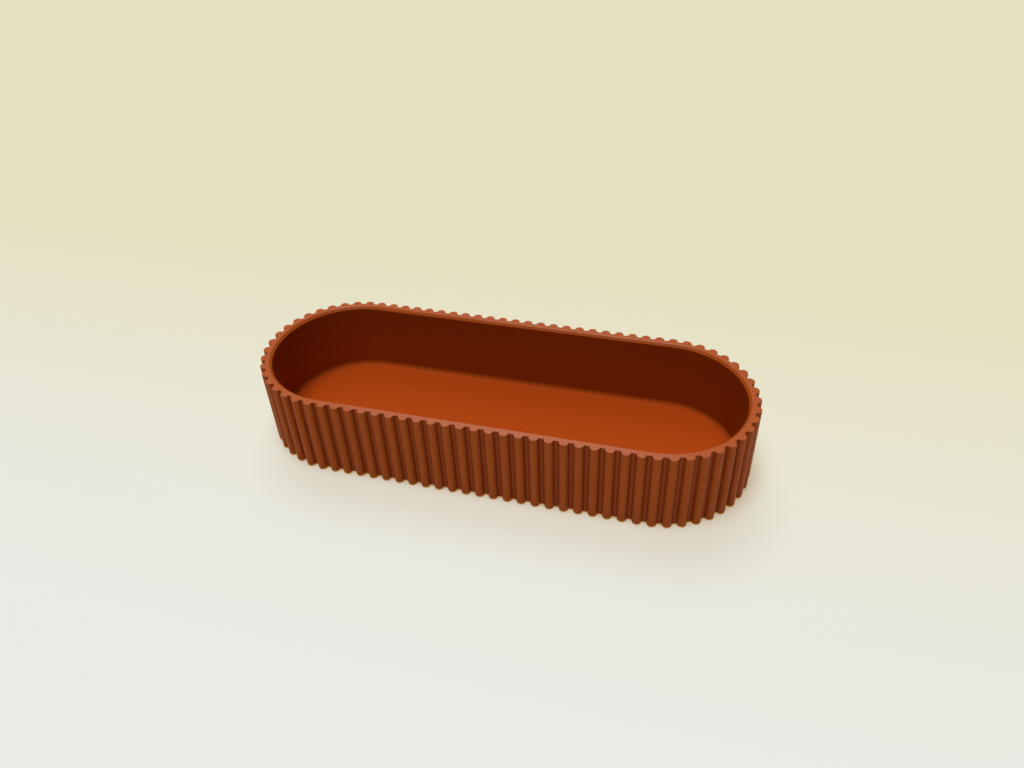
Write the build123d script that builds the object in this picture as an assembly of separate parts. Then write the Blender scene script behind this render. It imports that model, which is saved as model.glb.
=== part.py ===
from build123d import *
import os

# A pen tray: a stadium-shaped shell with half-round ribs all round its wall, a thin liner that
# drops in on its floor and lifts out again, and four anti-slip feet set into its underside.
# The origin is below the middle of the tray, on the surface that it stands on.
# +X runs along the tray, +Y to its back and +Z up.

# Driving dimensions of the shell, in millimetres
LENGTH = 156.5  # to the line of the rib crests, at both ends
WIDTH = 56.0  # to the line of the rib crests, front and back
SHELL_HEIGHT = 26.6  # underside of the base to the rim
WALL = 2.1  # smooth wall, without the ribs
FLOOR = 2.0  # base plate, under the liner
COVE_RADIUS = 2.0  # hollow curve where the inside of the wall meets the floor
RIM_CHAMFER = 0.8  # bevel along the inner edge of the rim

# Ribs: an odd count puts a rib at the middle of the front and a gap at the middle of the back
RIB_COUNT = 85
RIB_RADIUS = 1.45  # each rib is half round, centred on the face of the wall

# Liner
LINER_THICKNESS = 0.8
LINER_CLEARANCE = 0.2  # from the edge of the liner to the foot of the cove
LINER_BEVEL = 0.2  # along its upper edge

# Feet
FOOT_DIAMETER = 9.0
FOOT_PROUD = 0.5  # how far a foot stands out below the base
FOOT_RECESS = 0.6  # how deep a foot is set into the base
FOOT_CLEARANCE = 0.15  # round the side of a foot in its recess
FOOT_BEVEL = 0.2  # round its lower edge
FOOT_SPACING_X = 100.0  # centre to centre along the tray
FOOT_SPACING_Y = 28.0  # centre to centre across the tray

# Sizes and levels that follow from those
STRAIGHT = LENGTH - WIDTH
FACE_RADIUS = WIDTH / 2 - RIB_RADIUS
INNER_RADIUS = FACE_RADIUS - WALL
LINER_RADIUS = INNER_RADIUS - COVE_RADIUS - LINER_CLEARANCE
BASE_Z = FOOT_PROUD
FLOOR_Z = BASE_Z + FLOOR
RIM_Z = BASE_Z + SHELL_HEIGHT

FOOT_PLACES = {
    "foot_front_left": (-FOOT_SPACING_X / 2, -FOOT_SPACING_Y / 2),
    "foot_front_right": (FOOT_SPACING_X / 2, -FOOT_SPACING_Y / 2),
    "foot_rear_left": (-FOOT_SPACING_X / 2, FOOT_SPACING_Y / 2),
    "foot_rear_right": (FOOT_SPACING_X / 2, FOOT_SPACING_Y / 2),
}


def stadium(radius):
    """A flat face with two straight sides and half-round ends of this radius."""
    return SlotCenterToCenter(STRAIGHT, 2 * radius)


def wall_path():
    """The line of the wall's face, once round the tray from the middle of the front."""
    half = STRAIGHT / 2
    side = FACE_RADIUS
    tip = half + FACE_RADIUS
    return Wire(
        [
            Line((0, -side), (half, -side)),
            ThreePointArc((half, -side), (tip, 0), (half, side)),
            Line((half, side), (-half, side)),
            ThreePointArc((-half, side), (-tip, 0), (-half, -side)),
            Line((-half, -side), (0, -side)),
        ]
    )


def ribbed_outline():
    """The wall's outline with a round bead for every rib, evenly spaced along its face."""
    path = wall_path()
    beads = [Pos(path @ (rib / RIB_COUNT)) * Circle(RIB_RADIUS) for rib in range(RIB_COUNT)]
    return stadium(FACE_RADIUS) + beads


def hollow():
    """The inside of the shell: a straight wall, a cove at its foot and a bevel at the rim."""
    well = Pos(0, 0, FLOOR_Z) * extrude(stadium(INNER_RADIUS), RIM_Z - FLOOR_Z)
    well = fillet(well.edges().group_by(Axis.Z)[0], COVE_RADIUS)
    mouth = extrude(stadium(INNER_RADIUS), RIM_CHAMFER, taper=-45)
    return well + Pos(0, 0, RIM_Z - RIM_CHAMFER) * mouth


def tray_shell():
    """Wall, ribs and base in one piece, with a round recess in the underside for each foot."""
    shell = Pos(0, 0, BASE_Z) * extrude(ribbed_outline(), SHELL_HEIGHT)
    recess = extrude(Circle(FOOT_DIAMETER / 2 + FOOT_CLEARANCE), FOOT_RECESS)
    recesses = [Pos(x, y, BASE_Z) * recess for x, y in FOOT_PLACES.values()]
    return shell - hollow() - recesses


def floor_liner():
    """A thin mat that lies on the floor inside the cove, with its upper edge bevelled."""
    mat = Pos(0, 0, FLOOR_Z) * extrude(stadium(LINER_RADIUS), LINER_THICKNESS)
    return chamfer(mat.edges().group_by(Axis.Z)[-1], LINER_BEVEL)


def foot(x, y):
    """A round pad that fills its recess to the top, with its lower edge bevelled."""
    pad = Pos(x, y, 0) * extrude(Circle(FOOT_DIAMETER / 2), FOOT_PROUD + FOOT_RECESS)
    return chamfer(pad.edges().group_by(Axis.Z)[0], FOOT_BEVEL)


pieces = {"tray_shell": tray_shell(), "floor_liner": floor_liner()}
for foot_name, (foot_x, foot_y) in FOOT_PLACES.items():
    pieces[foot_name] = foot(foot_x, foot_y)

os.makedirs("parts", exist_ok=True)
for name, piece in pieces.items():
    piece.label = name
    export_step(piece, f"parts/{name}.step")
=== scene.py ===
import math

import bmesh
import bpy
import numpy as np
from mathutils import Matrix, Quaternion, Vector


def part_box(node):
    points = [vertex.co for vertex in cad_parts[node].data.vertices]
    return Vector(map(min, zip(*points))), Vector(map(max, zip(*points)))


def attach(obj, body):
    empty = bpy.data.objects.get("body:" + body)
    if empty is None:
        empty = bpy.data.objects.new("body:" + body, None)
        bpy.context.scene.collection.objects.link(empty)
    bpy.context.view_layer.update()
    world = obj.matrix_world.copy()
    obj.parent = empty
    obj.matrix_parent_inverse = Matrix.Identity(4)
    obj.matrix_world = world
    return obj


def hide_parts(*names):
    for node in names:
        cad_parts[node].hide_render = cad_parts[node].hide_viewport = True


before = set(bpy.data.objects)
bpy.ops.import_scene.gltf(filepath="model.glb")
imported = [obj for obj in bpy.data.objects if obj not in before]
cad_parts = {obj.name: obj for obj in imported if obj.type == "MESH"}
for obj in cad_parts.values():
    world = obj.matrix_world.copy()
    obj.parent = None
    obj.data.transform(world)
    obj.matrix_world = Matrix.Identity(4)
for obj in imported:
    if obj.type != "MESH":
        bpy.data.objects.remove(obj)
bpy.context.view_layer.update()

# A stadium-shaped pen tray, 3-D printed in matte terracotta PLA, with half-round ribs all round
# its wall, a thin mat lying loose on its floor and four rubber pads under its base.

MM = 0.001  # all lengths are in metres

# Sizes read from the frame
shell_low, shell_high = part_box("tray_shell")
liner_low, liner_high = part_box("floor_liner")
CREST_RADIUS = (shell_high.y - shell_low.y) / 2
BASE_Z = shell_low.z
RIM_Z = shell_high.z
FLOOR_Z = liner_low.z
LINER_TOP_Z = liner_high.z
LINER_RADIUS = liner_high.y
HALF_STRAIGHT = liner_high.x - liner_high.y
FEET = [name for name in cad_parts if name.startswith("foot_")]

# Sizes of the shell that the frame's boxes don't give
RIB_COUNT = 85
RIB_RADIUS = 1.45 * MM
WALL = 2.1 * MM
COVE_RADIUS = 2.0 * MM
RIM_CHAMFER = 0.8 * MM
FOOT_RECESS = 0.6 * MM
FOOT_CLEARANCE = 0.15 * MM
FACE_RADIUS = CREST_RADIUS - RIB_RADIUS
PERIMETER = 4 * HALF_STRAIGHT + 2 * math.pi * FACE_RADIUS
RIB_PITCH = PERIMETER / RIB_COUNT

# Small rounds that a nozzle or a mould leaves on edges and in corners
EDGE_ROUND = 0.12 * MM
ROOT_ROUND = 0.15 * MM
BEVEL_ROUND = 0.25 * MM
LINER_ROUND = 0.25 * MM
FOOT_ROUND = 0.25 * MM

# Steps along each curve
RIB_STEPS = 12
ROOT_STEPS = 6
ROUND_STEP = math.radians(12)
FOOT_STEPS = 64

# Which material a face of the shell takes
OUTSIDE = 0
WELL = 1
SKINS = 2

# The print's colour on both faces of its wall, and its index of refraction
WALL_COLOUR = "#99430c"
PLA_IOR = 1.46


def around(along, out):
    """Points at a distance out from the wall's face, and along it from the middle of the front."""
    along = np.mod(along, PERIMETER)
    end = math.pi * FACE_RADIUS
    to_right = np.clip(along, 0, HALF_STRAIGHT)
    right_turn = np.clip(along - HALF_STRAIGHT, 0, end)
    to_left = np.clip(along - HALF_STRAIGHT - end, 0, 2 * HALF_STRAIGHT)
    left_turn = np.clip(along - 3 * HALF_STRAIGHT - end, 0, end)
    home = np.clip(along - 3 * HALF_STRAIGHT - 2 * end, 0, HALF_STRAIGHT)
    turn = (right_turn + left_turn) / FACE_RADIUS
    x = to_right - to_left + home + (FACE_RADIUS + out) * np.sin(turn)
    return x, -(FACE_RADIUS + out) * np.cos(turn)


def half_rib(inset):
    """From the crest of a rib to the middle of the gap beside it, with the surface set in by inset."""
    lean = math.asin(ROOT_ROUND / (RIB_RADIUS + ROOT_ROUND))
    reach = (RIB_RADIUS + ROOT_ROUND) * math.cos(lean)
    rib_angles = np.linspace(math.pi / 2, lean, RIB_STEPS)
    root_angles = np.linspace(math.pi + lean, 1.5 * math.pi, ROOT_STEPS + 1)[1:]
    rib = RIB_RADIUS - inset
    root = ROOT_ROUND + inset
    along = np.concatenate(
        [rib * np.cos(rib_angles), reach + root * np.cos(root_angles), [RIB_PITCH / 2]]
    )
    out = np.concatenate(
        [rib * np.sin(rib_angles), ROOT_ROUND + root * np.sin(root_angles), [-inset]]
    )
    return along, out


def ribbed_ring(inset, z):
    """The ribbed outline of the wall at one height, from the crest of the rib at the front middle."""
    along, out = half_rib(inset)
    section_along = np.concatenate([along, RIB_PITCH - along[-2:0:-1]])
    section_out = np.concatenate([out, out[-2:0:-1]])
    starts = np.arange(RIB_COUNT)[:, None] * RIB_PITCH
    x, y = around((starts + section_along).ravel(), np.tile(section_out, RIB_COUNT))
    return np.column_stack([x, y, np.full(len(x), z)])


def smooth_ring(out, z):
    """A plain stadium at one height, with a point at each rib's crest and each gap's middle."""
    x, y = around(np.arange(2 * RIB_COUNT) * RIB_PITCH / 2, out)
    return np.column_stack([x, y, np.full(len(x), z)])


def circle_ring(centre, radius, z):
    """A level circle."""
    angles = np.arange(FOOT_STEPS) * 2 * math.pi / FOOT_STEPS
    x = centre.x + radius * np.cos(angles)
    y = centre.y + radius * np.sin(angles)
    return np.column_stack([x, y, np.full(FOOT_STEPS, z)])


def rounded(corners):
    """A profile of (out, z) points, from corners of (out, z, radius) with each radius put in."""
    points = [corners[0][:2]]
    for before, corner, after in zip(corners, corners[1:], corners[2:]):
        here = Vector(corner[:2])
        radius = corner[2]
        back = (Vector(before[:2]) - here).normalized()
        ahead = (Vector(after[:2]) - here).normalized()
        half_angle = back.angle(ahead) / 2
        centre = here + (back + ahead).normalized() * radius / math.sin(half_angle)
        cut = radius / math.tan(half_angle)
        start = here + back * cut - centre
        end = here + ahead * cut - centre
        turn = math.copysign(math.pi - 2 * half_angle, start.cross(end))
        steps = math.ceil(abs(turn) / ROUND_STEP)
        for step in range(steps + 1):
            spin = turn * step / steps
            cos = math.cos(spin)
            sin = math.sin(spin)
            points.append(
                (centre.x + start.x * cos - start.y * sin, centre.y + start.x * sin + start.y * cos)
            )
    points.append(corners[-1][:2])
    return points


class Skin:
    """A mesh put together from rings of points."""

    def __init__(self):
        self.mesh = bmesh.new()
        self.material = 0

    def face(self, corners):
        """Adds a face in the material of the moment."""
        self.mesh.faces.new(corners).material_index = self.material

    def ring(self, points):
        """Adds a ring of points, without faces."""
        return [self.mesh.verts.new(point) for point in points]

    def tube(self, rings):
        """Joins rings of equally many points in turn, and returns the first and the last."""
        made = [self.ring(points) for points in rings]
        for first, second in zip(made, made[1:]):
            for i in range(len(first)):
                j = (i + 1) % len(first)
                self.face((first[i], first[j], second[j], second[i]))
        return made[0], made[-1]

    def shelf(self, fine, coarse):
        """Joins a ring of many points to one of fewer with flat faces of many sides."""
        step = len(fine) // len(coarse)
        for i in range(len(coarse)):
            j = (i + 1) % len(coarse)
            edge = [fine[(i * step + k) % len(fine)] for k in range(step + 1)]
            self.face((*edge, coarse[j], coarse[i]))

    def plate(self, rings):
        """Fills the flat space inside the first ring and outside the others."""
        edges = []
        for ring in rings:
            for i in range(len(ring)):
                pair = (ring[i], ring[(i + 1) % len(ring)])
                edges.append(self.mesh.edges.get(pair) or self.mesh.edges.new(pair))
                edges[-1].smooth = False
        filled = bmesh.ops.triangle_fill(self.mesh, use_beauty=True, edges=edges)
        for part in filled["geom"]:
            if isinstance(part, bmesh.types.BMFace):
                part.material_index = self.material

    def piece(self, name, materials, body, nodes):
        """Turns the mesh into the piece that stands for these nodes and rides on a body."""
        largest_faces_win = 100
        bmesh.ops.recalc_face_normals(self.mesh, faces=self.mesh.faces)
        data = bpy.data.meshes.new(name)
        self.mesh.to_mesh(data)
        self.mesh.free()
        data.shade_smooth()
        for material in materials:
            data.materials.append(material)
        obj = bpy.data.objects.new(name, data)
        bpy.context.scene.collection.objects.link(obj)
        flat = obj.modifiers.new("flat faces stay flat", "WEIGHTED_NORMAL")
        flat.weight = largest_faces_win
        flat.keep_sharp = True
        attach(obj, body)
        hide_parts(*nodes)


def linear(hex_colour):
    """An sRGB hex colour as linear red, green, blue and alpha."""
    parts = [int(hex_colour[i : i + 2], 16) / 255 for i in (1, 3, 5)]
    return (*[p / 12.92 if p <= 0.04045 else ((p + 0.055) / 1.055) ** 2.4 for p in parts], 1.0)


def new_material(name):
    """An empty node material and its node tree."""
    material = bpy.data.materials.new(name)
    material.use_nodes = True
    material.node_tree.nodes.clear()
    return material, material.node_tree


def add(tree, kind, inputs=None, **settings):
    """Adds a node with its settings. An input is a value, or another node's output to link."""
    node = tree.nodes.new(kind)
    for name, value in settings.items():
        setattr(node, name, value)
    for name, value in (inputs or {}).items():
        if isinstance(value, bpy.types.NodeSocket):
            tree.links.new(value, node.inputs[name])
        else:
            node.inputs[name].default_value = value
    return node


def wave_scale(period_mm):
    """The Scale at which a wave texture along one axis repeats every so many millimetres."""
    return math.pi / (10 * period_mm * MM)


def noise_scale(grain_mm):
    """The Scale at which the cells of a noise texture are so many millimetres wide."""
    return 1 / (grain_mm * MM)


def spread_from_middle(tree, place):
    """The distance of a point from the tray's straight middle line, alike all along its outline."""
    split = add(tree, "ShaderNodeSeparateXYZ", {"Vector": place})
    along = add(tree, "ShaderNodeMath", {0: split.outputs["X"]}, operation="ABSOLUTE")
    past = add(
        tree, "ShaderNodeMath", {0: along.outputs["Value"], 1: HALF_STRAIGHT}, operation="SUBTRACT"
    )
    past_end = add(tree, "ShaderNodeMath", {0: past.outputs["Value"], 1: 0.0}, operation="MAXIMUM")
    offset = add(
        tree, "ShaderNodeCombineXYZ", {"X": past_end.outputs["Value"], "Y": split.outputs["Y"]}
    )
    spread = add(tree, "ShaderNodeVectorMath", {0: offset.outputs["Vector"]}, operation="LENGTH")
    return spread.outputs["Value"]


def off_faces(tree, place, reach):
    """Zero on both faces of the wall, and rising to one at a distance of reach from them."""
    from_wall = add(
        tree,
        "ShaderNodeMath",
        {0: spread_from_middle(tree, place), 1: FACE_RADIUS - WALL / 2},
        operation="SUBTRACT",
    )
    off_wall = add(tree, "ShaderNodeMath", {0: from_wall.outputs["Value"]}, operation="ABSOLUTE")
    rise = add(
        tree,
        "ShaderNodeMapRange",
        {"Value": off_wall.outputs["Value"], "From Min": WALL / 2, "From Max": WALL / 2 + reach},
    )
    return rise.outputs["Result"]


def painted_root_shade(tree, place):
    """Where shade is painted: one in the roots of the ribs, and falling to zero a little way off,
    soonest up the ribs.
    """
    reach_in_gap = 0.5 * MM
    reach_up_rib = 0.17 * MM
    split = add(tree, "ShaderNodeSeparateXYZ", {"Vector": place})
    straight = add(
        tree,
        "ShaderNodeClamp",
        {"Value": split.outputs["X"], "Min": -HALF_STRAIGHT, "Max": HALF_STRAIGHT},
    )
    past_end = add(
        tree,
        "ShaderNodeMath",
        {0: split.outputs["X"], 1: straight.outputs["Result"]},
        operation="SUBTRACT",
    )
    width = add(tree, "ShaderNodeMath", {0: split.outputs["Y"]}, operation="ABSOLUTE")
    turn = add(
        tree,
        "ShaderNodeMath",
        {0: past_end.outputs["Value"], 1: width.outputs["Value"]},
        operation="ARCTAN2",
    )
    along = add(
        tree,
        "ShaderNodeMath",
        {0: turn.outputs["Value"], 1: FACE_RADIUS, 2: straight.outputs["Result"]},
        operation="MULTIPLY_ADD",
    )
    # the middle of the front has a rib, and the middle of the back a gap
    behind = add(tree, "ShaderNodeMath", {0: split.outputs["Y"], 1: 0.0}, operation="GREATER_THAN")
    from_rib = add(
        tree,
        "ShaderNodeMath",
        {0: behind.outputs["Value"], 1: RIB_PITCH / 2, 2: along.outputs["Value"]},
        operation="MULTIPLY_ADD",
    )
    from_nearest = add(
        tree,
        "ShaderNodeMath",
        {0: from_rib.outputs["Value"], 1: RIB_PITCH / 2},
        operation="PINGPONG",
    )
    beside = add(
        tree,
        "ShaderNodeMath",
        {0: from_nearest.outputs["Value"], 1: RIB_RADIUS},
        operation="SUBTRACT",
    )
    out = add(
        tree,
        "ShaderNodeMath",
        {0: spread_from_middle(tree, place), 1: FACE_RADIUS},
        operation="SUBTRACT",
    )
    up_rib = add(
        tree,
        "ShaderNodeMath",
        {0: out.outputs["Value"], 1: reach_in_gap / reach_up_rib},
        operation="MULTIPLY",
    )
    offset = add(
        tree, "ShaderNodeCombineXYZ", {"X": beside.outputs["Value"], "Y": up_rib.outputs["Value"]}
    )
    away = add(tree, "ShaderNodeVectorMath", {0: offset.outputs["Vector"]}, operation="LENGTH")
    nearness = add(
        tree,
        "ShaderNodeMapRange",
        {"Value": away.outputs["Value"], "From Max": reach_in_gap, "To Min": 1.0, "To Max": 0.0},
        interpolation_type="SMOOTHSTEP",
    )
    return nearness.outputs["Result"]


def ribbed_colour(tree, place):
    """The print's colour outside: painted sheen on the crests of the ribs, and painted shade in the
    gaps and, darker still, in their roots.
    """
    # painted sheen: paler towards the crests of the ribs; painted shade: darker towards the gaps
    # between them
    crest_sheen_gap_shade = add(
        tree,
        "ShaderNodeMix",
        {
            "Factor": off_faces(tree, place, reach=RIB_RADIUS),
            "A": linear(WALL_COLOUR),
            "B": linear("#a64d10"),
        },
        data_type="RGBA",
    )
    # painted shade in the roots of the ribs, where less light gets in
    shaded = add(
        tree,
        "ShaderNodeMix",
        {
            "Factor": painted_root_shade(tree, place),
            "A": crest_sheen_gap_shade.outputs["Result"],
            "B": linear("#742604"),
        },
        data_type="RGBA",
    )
    return shaded.outputs["Result"]


def well_colour(tree, place):
    """The print's colour inside, with painted bounce light from the mat making it warmer along the
    cove.
    """
    reach_over_cove = 0.9 * MM
    # painted light: warmer over the cove towards the floor, standing in for light bounced off the mat
    cove_bounce_light = add(
        tree,
        "ShaderNodeMix",
        {
            "Factor": off_faces(tree, place, reach=reach_over_cove),
            "A": linear(WALL_COLOUR),
            "B": linear("#a6400e"),
        },
        data_type="RGBA",
    )
    return cove_bounce_light.outputs["Result"]


def seen_rays(tree):
    """One for the rays by which the camera sees a surface, also in a reflection, and zero otherwise."""
    rays = add(tree, "ShaderNodeLightPath")
    camera_or_glossy = add(
        tree,
        "ShaderNodeMath",
        {0: rays.outputs["Is Camera Ray"], 1: rays.outputs["Is Glossy Ray"]},
        operation="MAXIMUM",
    )
    seen = add(
        tree,
        "ShaderNodeMath",
        {0: camera_or_glossy.outputs["Value"], 1: rays.outputs["Is Transmission Ray"]},
        operation="MAXIMUM",
    )
    return seen.outputs["Value"]


def layered_pla(name, wall_colour, roughness, gloss):
    """A side of the print, of level layers, each a touch lighter or darker."""
    layer_mm = 0.3  # coarser than the real 0.2, so that the lines show from near by
    layer_depth_mm = 0.02
    grain_mm = 0.4
    grain_depth_mm = 0.04
    tone_mm = (40.0, 40.0, 1.2)
    darkest = 0.93
    lightest = 1.07
    material, tree = new_material(name)
    place = add(tree, "ShaderNodeTexCoord").outputs["Object"]
    bands = add(
        tree, "ShaderNodeMapping", {"Vector": place, "Scale": [noise_scale(size) for size in tone_mm]}
    )
    tone = add(
        tree, "ShaderNodeTexNoise", {"Vector": bands.outputs["Vector"], "Scale": 1.0, "Detail": 2.0}
    )
    lightness = add(
        tree,
        "ShaderNodeMapRange",
        {"Value": tone.outputs["Fac"], "To Min": darkest, "To Max": lightest},
    )
    colour = add(
        tree,
        "ShaderNodeMix",
        {"Factor": 1.0, "A": wall_colour(tree, place), "B": lightness.outputs["Result"]},
        data_type="RGBA",
        blend_type="MULTIPLY",
    )
    layers = add(
        tree,
        "ShaderNodeTexWave",
        {"Vector": place, "Scale": wave_scale(layer_mm)},
        bands_direction="Z",
    )
    layer_bump = add(
        tree,
        "ShaderNodeBump",
        {"Height": layers.outputs["Fac"], "Strength": 0.35, "Distance": layer_depth_mm * MM},
    )
    grain = add(
        tree, "ShaderNodeTexNoise", {"Vector": place, "Scale": noise_scale(grain_mm), "Detail": 2.0}
    )
    grain_bump = add(
        tree,
        "ShaderNodeBump",
        {
            "Height": grain.outputs["Fac"],
            "Strength": 0.25,
            "Distance": grain_depth_mm * MM,
            "Normal": layer_bump.outputs["Normal"],
        },
    )
    dullness = add(
        tree,
        "ShaderNodeMapRange",
        {"Value": grain.outputs["Fac"], "To Min": roughness[0], "To Max": roughness[1]},
    )
    shader = add(
        tree,
        "ShaderNodeBsdfPrincipled",
        {
            "Base Color": colour.outputs["Result"],
            "Roughness": dullness.outputs["Result"],
            "IOR": PLA_IOR,
            "Specular IOR Level": gloss,
            "Normal": grain_bump.outputs["Normal"],
        },
    )
    add(tree, "ShaderNodeOutputMaterial", {"Surface": shader.outputs["BSDF"]})
    return material


def skinned_pla():
    """The flat skins of the print: lines laid side by side, smoother and shinier than the sides."""
    line_mm = 0.42
    line_depth_mm = 0.02
    grain_mm = 0.6
    material, tree = new_material("skinned_terracotta_pla")
    place = add(tree, "ShaderNodeTexCoord").outputs["Object"]
    spread = spread_from_middle(tree, place)
    spread_line = add(tree, "ShaderNodeCombineXYZ", {"X": spread})
    loops = add(
        tree,
        "ShaderNodeTexWave",
        {"Vector": spread_line.outputs["Vector"], "Scale": wave_scale(line_mm)},
        bands_direction="X",
    )
    # across a level face the diagonal bands come out wider by the root of two
    rows = add(
        tree,
        "ShaderNodeTexWave",
        {"Vector": place, "Scale": wave_scale(line_mm / math.sqrt(2))},
        bands_direction="DIAGONAL",
    )
    in_wall = add(
        tree,
        "ShaderNodeMath",
        {0: spread, 1: FACE_RADIUS - WALL},
        operation="GREATER_THAN",
    )
    lines = add(
        tree,
        "ShaderNodeMix",
        {"Factor": in_wall.outputs["Value"], "A": rows.outputs["Fac"], "B": loops.outputs["Fac"]},
        data_type="FLOAT",
    )
    bump = add(
        tree,
        "ShaderNodeBump",
        {"Height": lines.outputs["Result"], "Strength": 0.25, "Distance": line_depth_mm * MM},
    )
    grain = add(
        tree, "ShaderNodeTexNoise", {"Vector": place, "Scale": noise_scale(grain_mm), "Detail": 3.0}
    )
    colour = add(
        tree,
        "ShaderNodeMix",
        {"Factor": grain.outputs["Fac"], "A": linear("#98400b"), "B": linear("#a2460d")},
        data_type="RGBA",
    )
    dullness = add(
        tree,
        "ShaderNodeMapRange",
        {"Value": grain.outputs["Fac"], "To Min": 0.17, "To Max": 0.25},
    )
    shader = add(
        tree,
        "ShaderNodeBsdfPrincipled",
        {
            "Base Color": colour.outputs["Result"],
            "Roughness": dullness.outputs["Result"],
            "IOR": PLA_IOR,
            "Specular IOR Level": 0.36,
            "Normal": bump.outputs["Normal"],
        },
    )
    add(tree, "ShaderNodeOutputMaterial", {"Surface": shader.outputs["BSDF"]})
    return material


def silicone_mat():
    """Silicone matched to the tray: a dull bloom, and faint streaks along its outline."""
    grain_mm = 0.8
    grain_depth_mm = 0.05
    streak_mm = 0.9
    material, tree = new_material("burnt_orange_silicone")
    place = add(tree, "ShaderNodeTexCoord").outputs["Object"]
    spread_line = add(tree, "ShaderNodeCombineXYZ", {"X": spread_from_middle(tree, place)})
    streaks = add(
        tree,
        "ShaderNodeTexWave",
        {
            "Vector": spread_line.outputs["Vector"],
            "Scale": wave_scale(streak_mm),
            "Distortion": 2.0,
        },
        bands_direction="X",
    )
    grain = add(
        tree, "ShaderNodeTexNoise", {"Vector": place, "Scale": noise_scale(grain_mm), "Detail": 3.0}
    )
    colour = add(
        tree,
        "ShaderNodeMix",
        {"Factor": streaks.outputs["Fac"], "A": linear("#993b09"), "B": linear("#a13e0a")},
        data_type="RGBA",
    )
    bump = add(
        tree,
        "ShaderNodeBump",
        {"Height": grain.outputs["Fac"], "Strength": 0.2, "Distance": grain_depth_mm * MM},
    )
    shader = add(
        tree,
        "ShaderNodeBsdfPrincipled",
        {
            "Base Color": colour.outputs["Result"],
            "Roughness": 0.7,
            "IOR": 1.41,
            "Specular IOR Level": 0.06,
            "Normal": bump.outputs["Normal"],
        },
    )
    add(tree, "ShaderNodeOutputMaterial", {"Surface": shader.outputs["BSDF"]})
    return material


def moulded_rubber():
    """Dark grey moulded rubber: matte, with a fine pebbled skin."""
    pebble_mm = 0.4
    pebble_depth_mm = 0.05
    material, tree = new_material("dark_grey_rubber")
    place = add(tree, "ShaderNodeTexCoord").outputs["Object"]
    pebble = add(tree, "ShaderNodeTexVoronoi", {"Vector": place, "Scale": noise_scale(pebble_mm)})
    colour = add(
        tree,
        "ShaderNodeMix",
        {"Factor": pebble.outputs["Distance"], "A": linear("#35363a"), "B": linear("#2a2b2e")},
        data_type="RGBA",
    )
    bump = add(
        tree,
        "ShaderNodeBump",
        {"Height": pebble.outputs["Distance"], "Strength": 0.4, "Distance": pebble_depth_mm * MM},
        invert=True,
    )
    shader = add(
        tree,
        "ShaderNodeBsdfPrincipled",
        {
            "Base Color": colour.outputs["Result"],
            "Roughness": 0.75,
            "IOR": 1.52,
            "Normal": bump.outputs["Normal"],
        },
    )
    add(tree, "ShaderNodeOutputMaterial", {"Surface": shader.outputs["BSDF"]})
    return material


def pale_paper():
    """Smooth paper, cool white in front and cream behind, on which shadows stay faint and warm."""
    cool_y = -130 * MM
    cream_y = 120 * MM
    material, tree = new_material("pale_paper")
    place = add(tree, "ShaderNodeTexCoord").outputs["Object"]
    split = add(tree, "ShaderNodeSeparateXYZ", {"Vector": place})
    depth = add(
        tree,
        "ShaderNodeMapRange",
        {"Value": split.outputs["Y"], "From Min": cool_y, "From Max": cream_y},
        interpolation_type="SMOOTHSTEP",
    )
    seen = add(
        tree,
        "ShaderNodeMix",
        {"Factor": depth.outputs["Result"], "A": linear("#accad7"), "B": linear("#aabeb3")},
        data_type="RGBA",
    )
    seen_paper = add(tree, "ShaderNodeBsdfDiffuse", {"Color": seen.outputs["Result"]})
    glow = add(tree, "ShaderNodeEmission", {"Color": linear("#9b6c26"), "Strength": 1.0})
    shown = add(
        tree, "ShaderNodeAddShader", {0: seen_paper.outputs["BSDF"], 1: glow.outputs["Emission"]}
    )
    lit_paper = add(tree, "ShaderNodeBsdfDiffuse", {"Color": linear("#dcdad6")})
    either = add(
        tree,
        "ShaderNodeMixShader",
        {"Fac": seen_rays(tree), 1: lit_paper.outputs["BSDF"], 2: shown.outputs["Shader"]},
    )
    add(tree, "ShaderNodeOutputMaterial", {"Surface": either.outputs["Shader"]})
    return material


def tray_shell(materials):
    """The ribbed wall, rim, well and base, with a recess under the base for each foot."""
    skin = Skin()
    skin.material = OUTSIDE
    edge_profile = rounded(
        [(WALL, BASE_Z, 0), (0, BASE_Z, EDGE_ROUND), (0, RIM_Z, EDGE_ROUND), (WALL, RIM_Z, 0)]
    )
    base_edge, rim_edge = skin.tube([ribbed_ring(inset, z) for inset, z in edge_profile[1:-1]])
    well_profile = rounded(
        [
            (0, RIM_Z, 0),
            (RIM_CHAMFER - WALL, RIM_Z, BEVEL_ROUND),
            (-WALL, RIM_Z - RIM_CHAMFER, BEVEL_ROUND),
            (-WALL, FLOOR_Z, COVE_RADIUS),
            (-FACE_RADIUS, FLOOR_Z, 0),
        ]
    )
    skin.material = WELL
    mouth, floor_edge = skin.tube([smooth_ring(out, z) for out, z in well_profile[1:-1]])
    # the rim's edges are as shiny as its top, and the bevel under them is like the outside
    for face in skin.mesh.faces:
        height = face.calc_center_median().z
        if height > RIM_Z - EDGE_ROUND:
            face.material_index = SKINS
        elif height > RIM_Z - RIM_CHAMFER:
            face.material_index = OUTSIDE
    skin.material = SKINS
    base = skin.ring(smooth_ring(-WALL, BASE_Z))
    lips = []
    ceilings = []
    for name in FEET:
        low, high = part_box(name)
        centre = (low + high) / 2
        radius = (high.x - low.x) / 2 + FOOT_CLEARANCE
        levels = (BASE_Z, BASE_Z + FOOT_RECESS)
        lip, ceiling = skin.tube([circle_ring(centre, radius, z) for z in levels])
        lips.append(lip)
        ceilings.append(ceiling)
    skin.shelf(rim_edge, mouth)
    skin.face(floor_edge)
    skin.shelf(base_edge, base)
    skin.plate([base, *lips])
    for ceiling in ceilings:
        skin.face(ceiling)
    skin.piece("ribbed_tray", materials, "tray", ["tray_shell"])


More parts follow.
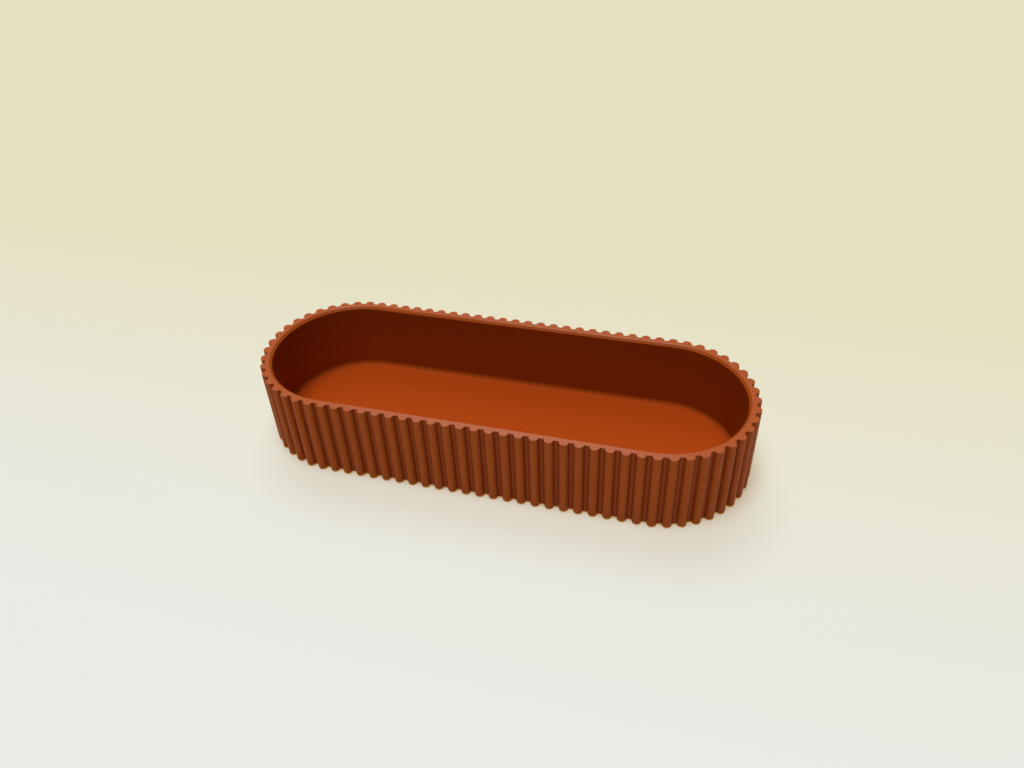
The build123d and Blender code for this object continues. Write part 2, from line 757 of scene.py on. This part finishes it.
def floor_liner(material):
    """The loose mat, with its upper and lower edges rounded."""
    skin = Skin()
    edge = LINER_RADIUS - FACE_RADIUS  # negative, being inside the wall's face
    profile = rounded(
        [
            (-FACE_RADIUS, FLOOR_Z, 0),
            (edge, FLOOR_Z, LINER_ROUND),
            (edge, LINER_TOP_Z, LINER_ROUND),
            (-FACE_RADIUS, LINER_TOP_Z, 0),
        ]
    )
    under, top = skin.tube([smooth_ring(out, z) for out, z in profile[1:-1]])
    skin.face(under)
    skin.face(top)
    skin.piece("floor_mat", [material], "liner", ["floor_liner"])


def foot_pad(name, material):
    """A round pad with its lower edge rounded."""
    skin = Skin()
    low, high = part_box(name)
    centre = (low + high) / 2
    radius = (high.x - low.x) / 2
    profile = rounded([(0, low.z, 0), (radius, low.z, FOOT_ROUND), (radius, high.z, 0)])
    under, top = skin.tube([circle_ring(centre, out, z) for out, z in profile[1:]])
    skin.face(under)
    skin.face(top)
    skin.piece(name.replace("foot", "pad"), [material], "tray", [name])


def soft_sun(name, towards, spread, strength, colour):
    """Even light over the whole floor, from a patch of sky so many degrees wide in one direction."""
    data = bpy.data.lights.new(name, "SUN")
    data.angle = math.radians(spread)
    data.energy = strength
    data.color = linear(colour)[:3]
    lamp = bpy.data.objects.new(name, data)
    lamp.rotation_mode = "QUATERNION"
    lamp.rotation_quaternion = Vector(towards).to_track_quat("Z", "Y")
    bpy.context.scene.collection.objects.link(lamp)


def studio(material):
    """A pale floor under a broad light overhead and a weaker one behind, and a pale surround."""
    floor_size = 8.0
    above = (-0.03, -0.147, 0.989)
    back_left = (-0.193, 0.478, 0.857)
    blend = 0.3  # how far either side of sideways the surround turns from cool to cream
    bpy.ops.mesh.primitive_plane_add(size=floor_size)
    floor = bpy.context.object
    floor.name = "paper_floor"
    floor.data.materials.append(material)

    soft_sun("overhead", towards=above, spread=32.0, strength=2.8, colour="#ffffff")
    soft_sun("behind", towards=back_left, spread=36.0, strength=0.97, colour="#fff8f0")

    world = bpy.data.worlds.new("pale_surround")
    bpy.context.scene.world = world
    world.use_nodes = True
    tree = world.node_tree
    tree.nodes.clear()
    dim = add(tree, "ShaderNodeBackground", {"Color": linear("#fffaf0"), "Strength": 0.03})
    way = add(tree, "ShaderNodeTexCoord").outputs["Generated"]
    split = add(tree, "ShaderNodeSeparateXYZ", {"Vector": way})
    depth = add(
        tree,
        "ShaderNodeMapRange",
        {"Value": split.outputs["Y"], "From Min": -blend, "From Max": blend},
        interpolation_type="SMOOTHSTEP",
    )
    surround = add(
        tree,
        "ShaderNodeMix",
        {"Factor": depth.outputs["Result"], "A": linear("#e9ecea"), "B": linear("#e7e0c2")},
        data_type="RGBA",
    )
    pale = add(tree, "ShaderNodeBackground", {"Color": surround.outputs["Result"], "Strength": 1.0})
    either = add(
        tree,
        "ShaderNodeMixShader",
        {"Fac": seen_rays(tree), 1: dim.outputs["Background"], 2: pale.outputs["Background"]},
    )
    add(tree, "ShaderNodeOutputWorld", {"Surface": either.outputs["Shader"]})


def photo_camera():
    """The camera at the photograph's place, aim, tilt and field of view."""
    place = Vector((61.95, -191.90, 185.85)) * MM
    aim = Vector((-4.33, 26.63, 0.0)) * MM
    tilt = math.radians(-2.69)
    camera = bpy.data.objects.new("camera", bpy.data.cameras.new("camera"))
    camera.data.sensor_width = 36.0
    camera.data.lens = 29.386
    camera.data.clip_start = 0.01
    camera.location = place
    camera.rotation_mode = "QUATERNION"
    level = (aim - place).to_track_quat("-Z", "Y")
    camera.rotation_quaternion = level @ Quaternion((0, 0, 1), tilt)
    bpy.context.scene.collection.objects.link(camera)
    bpy.context.scene.camera = camera


bpy.context.scene.view_settings.view_transform = "Standard"
photo_camera()
studio(pale_paper())
outside = layered_pla("layered_terracotta_pla", ribbed_colour, roughness=(0.42, 0.58), gloss=0.11)
well = layered_pla("dull_terracotta_pla", well_colour, roughness=(0.62, 0.78), gloss=0.05)
tray_shell([outside, well, skinned_pla()])
floor_liner(silicone_mat())
rubber = moulded_rubber()
for foot_name in FEET:
    foot_pad(foot_name, rubber)
